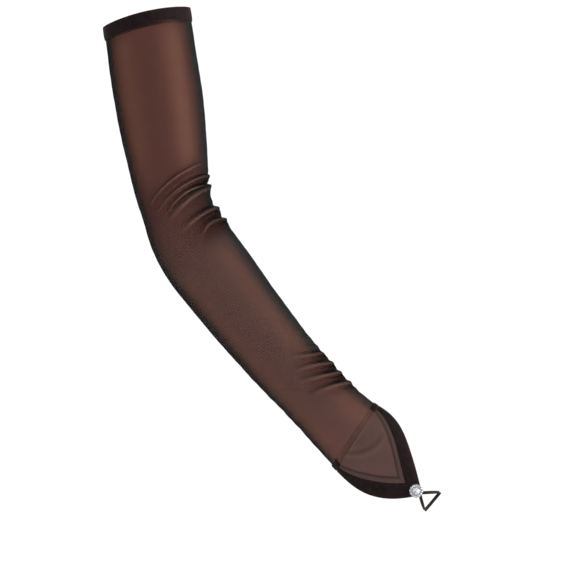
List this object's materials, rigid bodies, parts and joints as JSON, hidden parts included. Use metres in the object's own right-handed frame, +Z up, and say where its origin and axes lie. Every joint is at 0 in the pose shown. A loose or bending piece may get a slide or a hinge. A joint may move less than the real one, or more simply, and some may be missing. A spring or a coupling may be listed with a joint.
{
  "type": "evening mitten",
  "caption": "Long sheer evening mitten in its worn, bent-arm shape, with a doubled top hem, a pointed hand end, a round jewelled brooch and a finger loop.",
  "frame": {"origin": "centre of the top opening, at the upper edge of the sleeve", "axes": "+Z up, as the mitten hangs on a bent arm; the back of the hand faces -Y; the forearm runs down and towards +X"},
  "size_m": [0.3088, 0.0821, 0.4605],
  "materials": {
    "sheer_net": "black stretch net, sheer, which shows brown where light passes through",
    "doubled_hem": "doubled black stretch fabric, opaque, soft sheen",
    "gathered_elastic": "black elastic covered in gathered net, slight shine",
    "plated_setting": "bright silver-coloured plating",
    "cut_crystal": "clear cut rhinestone",
    "loop_ribbon": "narrow brown-black ribbon"
  },
  "bodies": {
    "root": {"sleeve": "sheer_net", "top_hem": "doubled_hem", "point_hem": "doubled_hem", "wrist_elastic": "gathered_elastic", "brooch_setting": "plated_setting", "centre_stone": "cut_crystal", "finger_loop": "loop_ribbon", "ring_stone_01": "cut_crystal", "ring_stone_02": "cut_crystal", "ring_stone_03": "cut_crystal", "ring_stone_04": "cut_crystal", "ring_stone_05": "cut_crystal", "ring_stone_06": "cut_crystal", "ring_stone_07": "cut_crystal", "ring_stone_08": "cut_crystal", "ring_stone_09": "cut_crystal", "ring_stone_10": "cut_crystal", "ring_stone_11": "cut_crystal", "ring_stone_12": "cut_crystal"}
  },
  "joints": []
}
